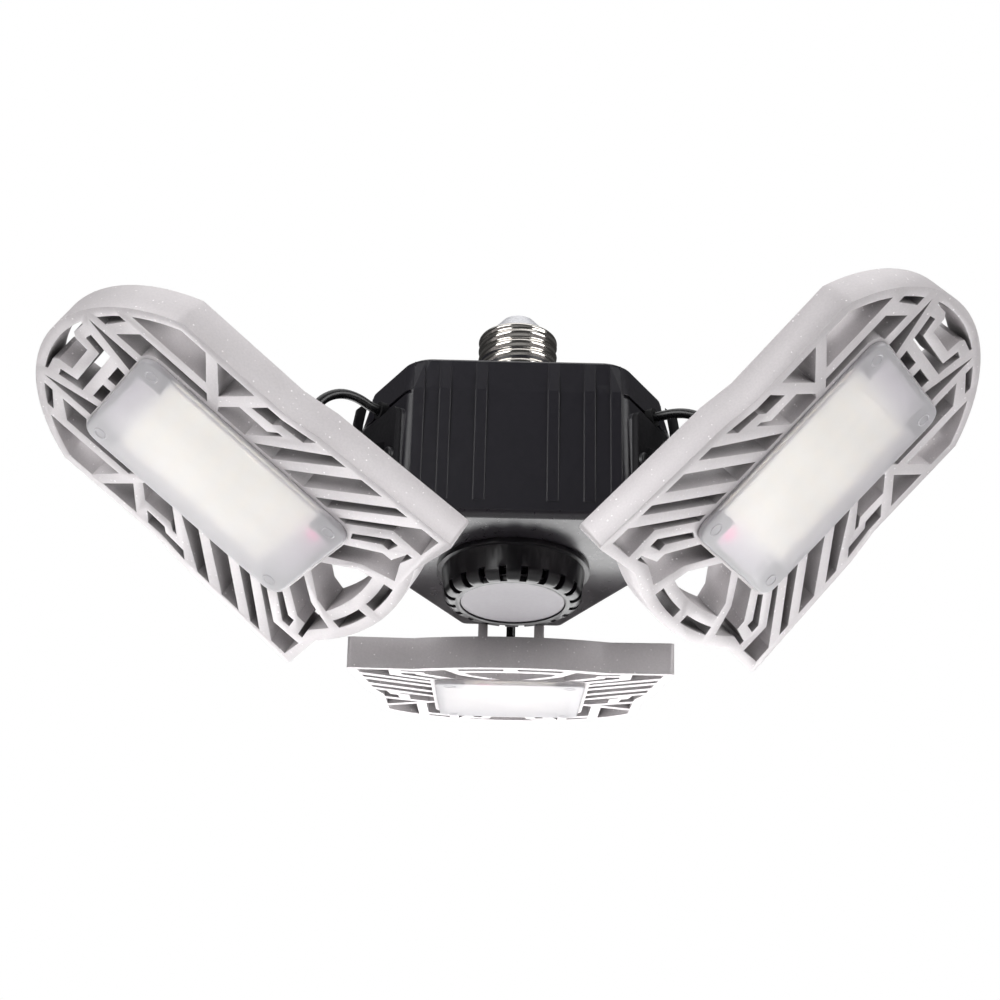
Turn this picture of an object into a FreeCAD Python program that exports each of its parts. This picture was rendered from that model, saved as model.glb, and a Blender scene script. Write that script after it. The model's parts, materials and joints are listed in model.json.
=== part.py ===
"""Screw-in garage light: a hexagonal driver housing with three hinged die-cast lattice panels.

Millimetres, +Z up. The origin is on the lamp axis at the lower end of the screw shell.
"""
import FreeCAD, Part
import math
import os

V = FreeCAD.Vector
os.makedirs("parts", exist_ok=True)

# ---- screw base -------------------------------------------------------------
SHELL_R = 13.0            # crest of the screw shell
SHELL_T = 0.5
SHELL_H = 17.3
SHELL_LIP = 1.4           # rolled rim at the top of the shell
CONE_TOP_R = 5.3
CONE_TOP_Z = 24.0
CONTACT_R = 4.6
CONTACT_H = 0.9

# ---- housing: hexagon with wide ribbed faces and narrow hinge faces ---------
TOP_Z = -10.4
CREASE_Z = -22.3
BOTTOM_Z = -63.1
BOTTOM_WIDE = 38.9        # wide faces at the lower edge, from the lamp axis
NARROW_OUT = 9.9          # narrow faces stand this much further out
LOWER_DRAFT_WIDE, LOWER_DRAFT_NARROW = 1.4, 1.0     # lean from the lower edge to the crease
UPPER_DRAFT_WIDE, UPPER_DRAFT_NARROW = 1.3, 1.9     # lean from the crease to the top
BOTTOM_CORNER_R, CREASE_CORNER_R, TOP_CORNER_R = 2.5, 4.5, 9.5
TOP_BEVEL = 1.0
HOUSING_T = 2.4
NECK_R = 15.6
NECK_WALL = 2.6
SPIGOT_L = 8.0
RIB_H = 0.9               # at the crease
RIB_END_H = 0.15          # at the lower end, where the ribs run out
RIB_W = 3.4
RIB_OFFSETS = (11.1, 22.2, 30.3)
RIB_END_GAP = 3.0         # bare strip between the ribs and the housing's lower edge
GROOVE = 1.0              # depth of the groove along the crease of the narrow faces
GROOVE_H = 1.2
PAD_PROUD = 0.2           # bracket pads, out from the lower edge of the narrow faces
PAD_HALF_W = 14.5
PAD_TOP_Z = -27.6
PAD_END_GAP = 2.6

# ---- lower cover and centre lamp --------------------------------------------
COVER_T = 2.2
COVER_R = 2.0             # rounding of the cover's edge
COVER_LIP = 2.5
RING_R = 24.0
RING_LIP = 1.7
RING_H = 12.1
RING_BEND_R, RING_BEND_H = 21.6, 3.6    # where the wall starts to bend in, above the end
RING_END_R = 19.0
RING_T = 1.8
RING_STEP = 1.5           # inward step of the ring under its bead
VENTS = 20
VENT_W = 2.2
VENT_H = 3.8
VENT_IN = 1.8             # band between the disc and the vents
DISC_R = 16.2
DISC_T = 1.9
DISC_FLANGE = 1.0
DISC_IN = 0.5             # disc, in from the end of the ring
DISC_GAP = 0.3
PLATE_R = 17.2
BOARD_T = 1.2
WIRE_HOLE_R = 4.0
CHIP_L, CHIP_W, CHIP_T = 3.5, 2.8, 0.75
CHIP_RING_R = (5.2, 11.6)
CHIP_RING_COUNT = (6, 12)

# ---- power supply -----------------------------------------------------------
DRIVER_WIDE, DRIVER_NARROW = 28.0, 36.0
DRIVER_Z = -47.0
DRIVER_T = 1.6
POST_R = 3.2
POST_PCD_R = 23.0
CORE_L, CORE_W, CORE_H = 20.0, 17.0, 15.0
CAP_R, CAP_H = 6.0, 19.0
SMALL_CAP_R, SMALL_CAP_H = 4.0, 12.0
CHOKE_R, CHOKE_H = 6.5, 8.0

# ---- hinge ------------------------------------------------------------------
HINGE_OUT = 11.4          # hinge bolts, out from the bracket pads
HINGE_Z = -49.2
BOLT_R = 2.5
BOLT_RUN = 0.05           # running clearance in the bracket and the ears
HEAD_AF = 8.0
HEAD_H = 3.2
NUT_H = 4.0
WASHER_R = 5.0
WASHER_T = 1.0
BOLT_TAIL = 2.6
EAR_IN, EAR_T = 8.1, 3.1
EAR_R = 6.5
EAR_FOOT = 9.0            # half length of the ear's foot on the panel
CHEEK_GAP = 0.3           # between a bracket cheek and the ear beside it
CHEEK_T = 2.8
CHEEK_R = 7.0
CHEEK_TOP_Z = -38.0
WING_SIDES = {"back": (), "left": (-1,), "right": (1,)}     # edges of the brackets that carry a wing
WING_TOP_Z = -13.2        # wings stand beside the upper part of the narrow faces
WING_GAP = 2.2            # between a wing and the face beside it
WING_T = 1.6
WING_W = 1.8
WING_LEAN = 4.0           # sloped upper end of a wing
BRACKET_T = 2.0
BRACKET_CORNER = 3.0
SCREW_R, SCREW_L = 1.5, 7.0
SCREW_HEAD_R, SCREW_HEAD_H = 2.9, 1.5
SCREW_V = 11.3
SCREW_Z = -44.6

# ---- panel: x runs outward from the inner shoulder edge, y across, z up -----
FACE_DROP = 30.9          # hinge bolt to the panel's LED face
PANEL_T = 10.3
SHOULDER_X = -29.3        # inner shoulder edge, measured from the hinge bolt
SHOULDER_HALF = 53.8
SHOULDER_R = 1.5
LENS_WEB, LENS_END_WEB = 1.5, 0.6       # metal between the cover's edge and the slots
NOSE_BAR_OUT = (33.8, 30.1)             # bars that run outward on the nose, from across to across
NOSE_BAR_IN = (22.3, 18.8)
WAIST = (0.9, 32.5)
BULGE_X = -5.7
SIDE_BREAK = (47.3, 50.3)
SIDE_STEP = (58.4, 47.6)
NOSE_CX = 66.6
RIM_T = 3.1
NOSE_TIP = 122.1

# frosted cover and its seat
LENS_X0, LENS_X1 = 20.3, 97.2
LENS_HALF = 25.6
LENS_R = 5.0
LENS_PROUD = 1.8
LENS_T = 0.9
POCKET_MARGIN = 2.3
POCKET_DEPTH = 3.8
BOSS_SQ = 8.0             # corner of the seat left for a cover screw
BOARD_GAP = 0.4
LENS_SCREW_IN = 5.2       # screw centres, in from the cover's edges
LENS_POST_R, LENS_POST_L = 2.9, 4.5     # posts under the cover, down from the panel's face
LENS_SCREW_R, LENS_SCREW_BITE = 1.25, 3.5
LENS_HEAD_R, LENS_HEAD_H = 2.6, 1.3
HOLE_FIT = 0.05
CHIP_COLS, CHIP_ROWS = 8, 6
# cooling grooves in the panel's back
FIN_X0 = 50.0
FIN_HALF = 23.0
FIN_COUNT = 6
FIN_T = 2.0
FIN_DEPTH = 4.6

# ---- leads ------------------------------------------------------------------
LEAD_R = 1.55
GLAND_R = 2.9
GLAND_PROUD = 2.2
GLAND_IN = 3.0
LEAD_FIT = 0.15           # between a lead and the gland round it
LEAD_IN, LEAD_OUT = 4.0, 1.55   # straight start of a lead, within and beyond the gland's tip
LEAD_END = 7.5            # straight end of a lead, square to the panel's back
PANEL_GLAND_X = 14.0      # outward of the hinge bolt
PANEL_GLAND_R = 3.6
PANEL_GLAND_H = 4.6
LEAD_GAP = 0.3

TILT = {"back": 11.5, "left": 30.5, "right": 39.8}
AZIMUTH = {"back": 90.0, "left": 210.0, "right": 330.0}
# free points of each lead between its two glands: distance from the lamp axis, height
LEAD_POINTS = {
    "back": ((58.4, -22.6), (64.9, -24.2), (70.3, -28.6), (73.6, -35.6), (75.0, -44.5)),
    "left": ((57.4, -20.9), (64.0, -21.1), (70.1, -25.6), (73.0, -32.6), (74.0, -41.0)),
    "right": ((58.4, -23.9), (64.6, -26.5), (69.6, -31.3), (73.4, -38.2)),
}

# ---- shared places ----------------------------------------------------------
BOTTOM_NARROW = BOTTOM_WIDE + NARROW_OUT
CREASE_WIDE, CREASE_NARROW = BOTTOM_WIDE - LOWER_DRAFT_WIDE, BOTTOM_NARROW - LOWER_DRAFT_NARROW
TOP_WIDE, TOP_NARROW = CREASE_WIDE - UPPER_DRAFT_WIDE, CREASE_NARROW - UPPER_DRAFT_NARROW
PAD_FACE = BOTTOM_NARROW + PAD_PROUD
HINGE_R = PAD_FACE + HINGE_OUT
COVER_Z = BOTTOM_Z - COVER_T
RING_END_Z = COVER_Z - RING_H
DISC_Z = RING_END_Z + DISC_IN
CENTRE_BOARD_Z = DISC_Z + DISC_T + DISC_FLANGE + CHIP_T + LEAD_GAP
FIN_X1 = LENS_X1 - LENS_SCREW_IN - LENS_HEAD_R - LENS_WEB
BACK_Z = PANEL_T - FACE_DROP
FACE_Z = -FACE_DROP
POCKET_Z = FACE_Z + POCKET_DEPTH
LENS_FACE_Z = FACE_Z - LENS_PROUD
WIDE_AZIMUTHS = (30.0, 150.0, 270.0)


def export(shape, node):
    shape.exportStep("parts/" + node + ".step")


def face(points):
    """Closed flat face through (x, y) points, or ((x, y), "arc") for the middle of an arc."""
    edges = []
    n = len(points)
    i = 0
    while i < n:
        here = points[i]
        nxt = points[(i + 1) % n]
        if len(nxt) == 2 and nxt[1] == "arc":
            end = points[(i + 2) % n]
            a, m, b = V(*here, 0), V(*nxt[0], 0), V(*end, 0)
            edges.append(Part.Arc(a, m, b).toShape())
            i += 2
        else:
            edges.append(Part.LineSegment(V(*here, 0), V(*nxt, 0)).toShape())
            i += 1
    return Part.Face(Part.Wire(edges))


def prism(points, z0, z1):
    solid = face(points).extrude(V(0, 0, z1 - z0))
    solid.translate(V(0, 0, z0))
    return solid


def revolve(profile):
    """Solid of revolution about Z of (radius, z) points and arcs."""
    flat = face(profile)
    flat.rotate(V(0, 0, 0), V(1, 0, 0), 90)
    return flat.revolve(V(0, 0, 0), V(0, 0, 1), 360)


def cylinder(radius, z0, z1, x=0.0, y=0.0):
    return Part.makeCylinder(radius, z1 - z0, V(x, y, z0))


def box(x0, x1, y0, y1, z0, z1):
    return Part.makeBox(x1 - x0, y1 - y0, z1 - z0, V(x0, y0, z0))


def fuse(solids):
    return solids[0].multiFuse(solids[1:]).removeSplitter() if len(solids) > 1 else solids[0]


def polar(radius, azimuth, z):
    a = math.radians(azimuth)
    return V(radius * math.cos(a), radius * math.sin(a), z)


def turned(shape, azimuth):
    """Copy of a shape drawn for azimuth 0, turned about the lamp axis."""
    out = shape.copy()
    out.rotate(V(0, 0, 0), V(0, 0, 1), azimuth)
    return out


def on_panel(shape, side):
    """Copy of a shape drawn in hinge coordinates, set at the panel's tilt and azimuth."""
    out = shape.copy()
    out.rotate(V(0, 0, 0), V(0, 1, 0), -TILT[side])
    out.translate(V(HINGE_R, 0, HINGE_Z))
    return turned(out, AZIMUTH[side])


def hexagon(wide, narrow, radius, z):
    """Hexagon with rounded corners; wide faces at 30, 150 and 270 degrees."""
    corners = []
    for azimuth in range(0, 360, 60):
        here = wide if azimuth % 120 == 60 else narrow
        after = narrow if azimuth % 120 == 60 else wide
        # faces stand at azimuth - 30 and azimuth + 30
        along = (after - here * math.cos(math.radians(60))) / math.sin(math.radians(60))
        a = math.radians(azimuth - 30)
        corners.append(V(here * math.cos(a) - along * math.sin(a),
                         here * math.sin(a) + along * math.cos(a), z))
    cut = radius * math.tan(math.radians(30))
    edges = []
    last = None
    for i, corner in enumerate(corners):
        back = (corners[i - 1] - corner).normalize()
        ahead = (corners[(i + 1) % 6] - corner).normalize()
        start, end = corner + back * cut, corner + ahead * cut
        bisector = (back + ahead).normalize()
        middle = corner + bisector * (radius / math.cos(math.radians(30)) - radius)
        if last is None:
            first = start
        else:
            edges.append(Part.LineSegment(last, start).toShape())
        edges.append(Part.Arc(start, middle, end).toShape())
        last = end
    edges.append(Part.LineSegment(last, first).toShape())
    return Part.Wire(edges)


def hex_loft(levels, inset=0.0):
    """Ruled loft through (wide, narrow, z) hexagons."""
    wires = []
    for wide, narrow, z in levels:
        radius = face_at(z, TOP_CORNER_R, CREASE_CORNER_R, BOTTOM_CORNER_R)
        wires.append(hexagon(wide - inset, narrow - inset, max(radius - inset, HOLE_FIT), z))
    return Part.makeLoft(wires, True, True)


def face_at(z, top, crease, bottom):
    """Value at a height between those at the housing's top, crease and lower edge."""
    if z >= CREASE_Z:
        return crease + (top - crease) * (z - CREASE_Z) / (TOP_Z - CREASE_Z)
    return crease + (bottom - crease) * (CREASE_Z - z) / (CREASE_Z - BOTTOM_Z)


def narrow_at(z):
    return face_at(z, TOP_NARROW, CREASE_NARROW, BOTTOM_NARROW)


def wide_at(z):
    return face_at(z, TOP_WIDE, CREASE_WIDE, BOTTOM_WIDE)


# ---- screw base -------------------------------------------------------------
def screw_shell():
    inner = SHELL_R - SHELL_T
    lip_r = SHELL_R - SHELL_LIP
    return revolve([
        (inner, 0), (SHELL_R, 0), (SHELL_R, SHELL_H - SHELL_LIP),
        ((lip_r + SHELL_LIP * math.sqrt(0.5), SHELL_H - SHELL_LIP + SHELL_LIP * math.sqrt(0.5)), "arc"),
        (lip_r, SHELL_H), (lip_r, SHELL_H - SHELL_T),
        ((lip_r + (SHELL_LIP - SHELL_T) * math.sqrt(0.5),
          SHELL_H - SHELL_LIP + (SHELL_LIP - SHELL_T) * math.sqrt(0.5)), "arc"),
        (inner, SHELL_H - SHELL_LIP)])


def base_insulator():
    seat_r = SHELL_R - SHELL_LIP
    foot_z = SHELL_H - SHELL_T
    bore = CONTACT_R - 2 * SHELL_T
    return revolve([
        (bore, foot_z - 2 * SHELL_T), (seat_r, foot_z - 2 * SHELL_T), (seat_r - SHELL_T, foot_z + SHELL_T),
        (CONE_TOP_R, CONE_TOP_Z), (bore, CONE_TOP_Z)])


def centre_contact():
    stem = CONTACT_R - 3 * SHELL_T
    return revolve([
        (0, SHELL_H - 2 * SHELL_T), (stem, SHELL_H - 2 * SHELL_T), (stem, CONE_TOP_Z),
        (CONTACT_R, CONE_TOP_Z), (CONTACT_R - CONTACT_H, CONE_TOP_Z + CONTACT_H),
        (0, CONE_TOP_Z + CONTACT_H)])


# ---- housing ----------------------------------------------------------------
def round_corners(plate):
    """Upright plate at azimuth 0 with its four corners rounded."""
    corners = [e for e in plate.Edges if e.BoundBox.XLength > BRACKET_T / 2 and e.BoundBox.YLength < HOLE_FIT]
    return plate.makeFillet(BRACKET_CORNER, corners)


def housing_ribs():
    """Upright ribs on the three wide faces, following the crease."""
    top_z = TOP_Z - TOP_BEVEL
    end_z = BOTTOM_Z + RIB_END_GAP
    levels = (top_z, CREASE_Z, end_z)
    outer = [(wide_at(z) + h, z) for z, h in zip(levels, (0, RIB_H, RIB_END_H))]
    inner = [(wide_at(z) - HOUSING_T / 2, z) for z in reversed(levels)]
    flat = face(outer + inner)
    flat.rotate(V(0, 0, 0), V(1, 0, 0), 90)
    ribs = []
    for offset in RIB_OFFSETS:
        for side in (-1, 1):
            rib = flat.extrude(V(0, RIB_W, 0))
            rib.translate(V(0, side * offset - RIB_W / 2, 0))
            ribs += [turned(rib, a) for a in WIDE_AZIMUTHS]
    return ribs


def upper_housing():
    shoulder_z = TOP_Z - TOP_BEVEL
    levels = [
        (BOTTOM_WIDE, BOTTOM_NARROW, BOTTOM_Z), (CREASE_WIDE, CREASE_NARROW, CREASE_Z),
        (wide_at(shoulder_z), narrow_at(shoulder_z), shoulder_z),
        (TOP_WIDE - TOP_BEVEL, TOP_NARROW - TOP_BEVEL, TOP_Z)]
    shell = hex_loft(levels)
    pads = []
    pad_z = BOTTOM_Z + PAD_END_GAP
    for azimuth in AZIMUTH.values():
        pad = box(CREASE_NARROW - HOUSING_T, PAD_FACE, -PAD_HALF_W, PAD_HALF_W, pad_z, PAD_TOP_Z)
        pads.append(turned(round_corners(pad), azimuth))
    neck = [cylinder(NECK_R, TOP_Z - HOUSING_T, 0),
            cylinder(SHELL_R - SHELL_T - HOLE_FIT, -SHELL_T, SPIGOT_L)]
    body = fuse([shell] + housing_ribs() + pads + neck)
    roof_z = TOP_Z - HOUSING_T
    cavity = hex_loft([
        (BOTTOM_WIDE, BOTTOM_NARROW, BOTTOM_Z - 1), (CREASE_WIDE, CREASE_NARROW, CREASE_Z),
        (wide_at(roof_z), narrow_at(roof_z), roof_z)], HOUSING_T)
    bore = cylinder(SHELL_R - SHELL_T - NECK_WALL, roof_z - 1, SPIGOT_L + 1)
    cuts = [cavity, bore]
    for azimuth in AZIMUTH.values():
        groove = box(CREASE_NARROW - GROOVE, BOTTOM_NARROW, -BOTTOM_NARROW / 2, BOTTOM_NARROW / 2,
                     CREASE_Z - GROOVE_H, CREASE_Z)
        hole = cylinder(GLAND_R + HOLE_FIT, 0, PAD_FACE + 5)
        hole.rotate(V(0, 0, 0), V(0, 1, 0), 90)
        hole.translate(V(CREASE_NARROW - 2 * HOUSING_T, 0, gland_z()))
        cuts += [turned(groove, azimuth), turned(hole, azimuth)]
        for side in (-1, 1):
            screw = cylinder(SCREW_R + HOLE_FIT, 0, SCREW_L + BRACKET_T)
            screw.rotate(V(0, 0, 0), V(0, 1, 0), 90)
            screw.translate(V(PAD_FACE + BRACKET_T - SCREW_L, side * SCREW_V, SCREW_Z))
            cuts.append(turned(screw, azimuth))
    return body.cut(Part.makeCompound(cuts)).removeSplitter()


def gland_z():
    return CREASE_Z - GROOVE_H


def lower_cover():
    levels = []
    for turn in (90, 60, 30, 0):
        inset = COVER_R * (1 - math.cos(math.radians(turn)))
        z = COVER_Z + COVER_R * (1 - math.sin(math.radians(turn)))
        levels.append((BOTTOM_WIDE - inset, BOTTOM_NARROW - inset, z))
    plate = hex_loft(levels + [(BOTTOM_WIDE, BOTTOM_NARROW, BOTTOM_Z)])
    inset = HOUSING_T + HOLE_FIT * 2
    lip = hex_loft([(BOTTOM_WIDE, BOTTOM_NARROW, BOTTOM_Z),
                    (wide_at(BOTTOM_Z + COVER_LIP), narrow_at(BOTTOM_Z + COVER_LIP), BOTTOM_Z + COVER_LIP)],
                   inset)
    lip = lip.cut(hex_loft([(BOTTOM_WIDE, BOTTOM_NARROW, BOTTOM_Z),
                            (BOTTOM_WIDE, BOTTOM_NARROW, BOTTOM_Z + COVER_LIP + 1)], inset + HOUSING_T / 2))
    boss = cylinder(PLATE_R / 2, CENTRE_BOARD_Z + BOARD_T, COVER_Z)
    posts = [cylinder(POST_R, BOTTOM_Z, DRIVER_Z, *polar(POST_PCD_R, a, 0)[:2]) for a in WIDE_AZIMUTHS]
    wires = cylinder(WIRE_HOLE_R, CENTRE_BOARD_Z, BOTTOM_Z + 1)
    return fuse([plate, lip, boss] + posts).cut(wires)


# ---- centre lamp ------------------------------------------------------------
def lamp_ring():
    """Vented ring: a bead at the cover, a wall that bends in to a lip round the disc."""
    wall_r = RING_R - RING_STEP
    bead_z = COVER_Z - RING_LIP
    bend_z = RING_END_Z + RING_BEND_H
    mouth = DISC_R + DISC_GAP
    k = math.sqrt(0.5)
    bend = (RING_END_R + (RING_BEND_R - RING_END_R) * k, bend_z - RING_BEND_H * k)
    ring = revolve([
        (wall_r - RING_T, COVER_Z), (RING_R, COVER_Z), (RING_R, bead_z), (wall_r, bead_z),
        (RING_BEND_R, bend_z), (bend, "arc"), (RING_END_R, RING_END_Z), (mouth, RING_END_Z),
        (mouth, RING_END_Z + RING_T), (RING_END_R - RING_T / 2, RING_END_Z + RING_T),
        (RING_BEND_R - RING_T, bend_z), (wall_r - RING_T, bead_z)])
    slots = []
    for i in range(VENTS):
        slot = box(DISC_R + VENT_IN, RING_R + 1, -VENT_W / 2, VENT_W / 2, RING_END_Z - 1, RING_END_Z + VENT_H)
        slots.append(turned(slot, (i + 0.5) * 360 / VENTS))
    return ring.cut(Part.makeCompound(slots))


def centre_lens():
    seat_z = RING_END_Z + RING_T
    rim = DISC_R + DISC_FLANGE
    back_z = seat_z + DISC_FLANGE
    return revolve([
        (0, DISC_Z), (DISC_R, DISC_Z), (DISC_R, seat_z), (rim, seat_z), (rim, back_z), (0, back_z)])


def centre_board():
    return cylinder(PLATE_R, CENTRE_BOARD_Z, CENTRE_BOARD_Z + BOARD_T)


def centre_leds():
    chips = []
    for radius, count in zip(CHIP_RING_R, CHIP_RING_COUNT):
        for i in range(count):
            chip = box(radius - CHIP_W / 2, radius + CHIP_W / 2, -CHIP_L / 2, CHIP_L / 2,
                       CENTRE_BOARD_Z - CHIP_T, CENTRE_BOARD_Z)
            chips.append(turned(chip, i * 360 / count))
    return Part.makeCompound(chips)


# ---- power supply -----------------------------------------------------------
def driver_board():
    wire = hexagon(DRIVER_WIDE, DRIVER_NARROW, BOTTOM_CORNER_R, DRIVER_Z)
    return Part.Face(wire).extrude(V(0, 0, DRIVER_T))


def driver_parts():
    z = DRIVER_Z + DRIVER_T
    core = box(-CORE_L, 0, -CORE_W / 2, CORE_W / 2, z, z + CORE_H)
    tall = cylinder(CAP_R, z, z + CAP_H, CAP_R * 2, CAP_R * 1.5)
    small = cylinder(SMALL_CAP_R, z, z + SMALL_CAP_H, CAP_R * 2, -SMALL_CAP_R * 2)
    choke = cylinder(CHOKE_R, z, z + CHOKE_H, -CORE_L / 2, CORE_W / 2 + CHOKE_R * 1.5)
    choke = choke.cut(cylinder(CHOKE_R / 2, z, z + CHOKE_H, -CORE_L / 2, CORE_W / 2 + CHOKE_R * 1.5))
    return Part.makeCompound([core, tall, small, choke])


# ---- hinge bracket ----------------------------------------------------------
def tangent_point(x, z, radius, turn):
    """Where the line from (x, z) touches a circle about the origin, on the side that turn names."""
    a = math.atan2(z, x) + turn * math.acos(radius / math.hypot(x, z))
    return (radius * math.cos(a), radius * math.sin(a))


def cheek_profile():
    """Side view of a bracket cheek: from the plate to the round end about the hinge bolt."""
    low_z = BOTTOM_Z + PAD_END_GAP
    root = PAD_FACE + BRACKET_T
    upper = tangent_point(root - HINGE_R, CHEEK_TOP_Z - HINGE_Z, CHEEK_R, -1)
    lower = tangent_point(root - HINGE_R, low_z - HINGE_Z, CHEEK_R, 1)
    ends = [(HINGE_R + x, HINGE_Z + z) for x, z in (lower, upper)]
    return [(PAD_FACE, low_z), (root, low_z), ends[0], ((HINGE_R + CHEEK_R, HINGE_Z), "arc"), ends[1],
            (root, CHEEK_TOP_Z), (PAD_FACE, CHEEK_TOP_Z)]


def wing_profile():
    """Side view of a bracket wing: it rises from the plate along the leaning face."""
    root = PAD_FACE + BRACKET_T
    foot_z = PAD_TOP_Z - BRACKET_CORNER
    slope_z = WING_TOP_Z - WING_LEAN
    near, far = CREASE_NARROW + WING_GAP, CREASE_NARROW + WING_GAP + WING_W
    return [(PAD_FACE, foot_z), (root, foot_z), (root, PAD_TOP_Z), (far, CREASE_Z),
            (narrow_at(slope_z) + WING_GAP + WING_W, slope_z), (narrow_at(WING_TOP_Z) + WING_GAP, WING_TOP_Z),
            (near, CREASE_Z), (PAD_FACE, PAD_TOP_Z)]


def uprights(profile, outer, thickness, sides=(-1, 1)):
    """Upright plates of one side view, with their outer faces at a distance from the middle."""
    flat = face(profile)
    flat.rotate(V(0, 0, 0), V(1, 0, 0), 90)
    plates = []
    for side in sides:
        plate = flat.extrude(V(0, thickness, 0))
        plate.translate(V(0, -outer if side < 0 else outer - thickness, 0))
        plates.append(plate)
    return plates


def bracket(side):
    """Base plate with two cheeks that carry the hinge bolt, and its wing, at the side's azimuth."""
    plate = box(PAD_FACE, PAD_FACE + BRACKET_T, -PAD_HALF_W, PAD_HALF_W, BOTTOM_Z + PAD_END_GAP, PAD_TOP_Z)
    plate = round_corners(plate)
    cheeks = uprights(cheek_profile(), EAR_IN - CHEEK_GAP, CHEEK_T)
    wings = uprights(wing_profile(), PAD_HALF_W, WING_T, WING_SIDES[side])
    bore = cross_hole(BOLT_R + BOLT_RUN, EAR_IN)
    bore.translate(V(HINGE_R, 0, HINGE_Z))
    cuts = [bore]
    for across in (-SCREW_V, SCREW_V):
        screw = cylinder(SCREW_R + HOLE_FIT, 0, BRACKET_T * 2)
        screw.rotate(V(0, 0, 0), V(0, 1, 0), 90)
        screw.translate(V(PAD_FACE - BRACKET_T / 2, across, SCREW_Z))
        cuts.append(screw)
    return turned(fuse([plate] + cheeks + wings).cut(Part.makeCompound(cuts)), AZIMUTH[side])


def cross_hole(radius, half):
    """Cylinder along Y through the origin."""
    out = Part.makeCylinder(radius, 2 * half, V(0, -half, 0), V(0, 1, 0))
    return out


def bracket_screws():
    screws = []
    for azimuth in AZIMUTH.values():
        for side in (-1, 1):
            shank = cylinder(SCREW_R, -SCREW_L, 0)
            head = cylinder(SCREW_HEAD_R, 0, SCREW_HEAD_H)
            edge = [e for e in head.Edges if abs(e.CenterOfMass.z - SCREW_HEAD_H) < 0.01]
            screw = shank.fuse(head.makeFillet(SCREW_HEAD_H / 2, edge)).removeSplitter()
            screw.rotate(V(0, 0, 0), V(0, 1, 0), 90)
            screw.translate(V(PAD_FACE + BRACKET_T, side * SCREW_V, SCREW_Z))
            screws.append(turned(screw, azimuth))
    return Part.makeCompound(screws)


# ---- panel ------------------------------------------------------------------
def nose_point(across, inset=0.0):
    """Point of the rounded nose at a distance from the mirror axis."""
    radius = NOSE_TIP - NOSE_CX - inset
    return (NOSE_CX + math.sqrt(radius ** 2 - across ** 2), across)


def bulge_centre():
    """Centre of the arc through both waists and the bulge's tip."""
    x, y = WAIST
    return (x * x + y * y - BULGE_X ** 2) / (2 * (x - BULGE_X))


def bulge_point(across, inset=0.0):
    centre = bulge_centre()
    radius = centre - BULGE_X - inset
    return (centre - math.sqrt(radius ** 2 - across ** 2), across)


def mirrored(points):
    """Other half of a symmetric outline, in reverse order."""
    out = []
    for p in reversed(points):
        if p[1] == "arc":
            out.append(((p[0][0], -p[0][1]), "arc"))
        else:
            out.append((p[0], -p[1]))
    return out


def panel_outline():
    side_nose = nose_point(SIDE_STEP[1])
    k = math.sqrt(0.5)
    half = [
        WAIST,
        (0, SHOULDER_HALF - SHOULDER_R),
        ((SHOULDER_R - SHOULDER_R * k, SHOULDER_HALF - SHOULDER_R + SHOULDER_R * k), "arc"),
        (SHOULDER_R, SHOULDER_HALF), SIDE_BREAK, SIDE_STEP, side_nose]
    tip = [((NOSE_TIP, 0), "arc")]
    bulge = [((BULGE_X, 0), "arc")]
    return half + tip + mirrored(half) + bulge


def side_at(x):
    """Distance of the panel's side edge from the mirror axis."""
    corners = ((SHOULDER_R, SHOULDER_HALF), SIDE_BREAK, SIDE_STEP, (NOSE_TIP, SIDE_STEP[1]))
    for (x0, y0), (x1, y1) in zip(corners, corners[1:]):
        if x <= x1:
            break
    return y0 + (y1 - y0) * (x - x0) / (x1 - x0)


def rim(x):
    """Point on the inner edge of the side rim."""
    return (x, side_at(x) - RIM_T)


def web(x):
    """Point beside the frosted cover, where the slots end."""
    return (x, LENS_HALF + LENS_WEB)


def nose_rim(across):
    return nose_point(across, RIM_T)


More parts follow.
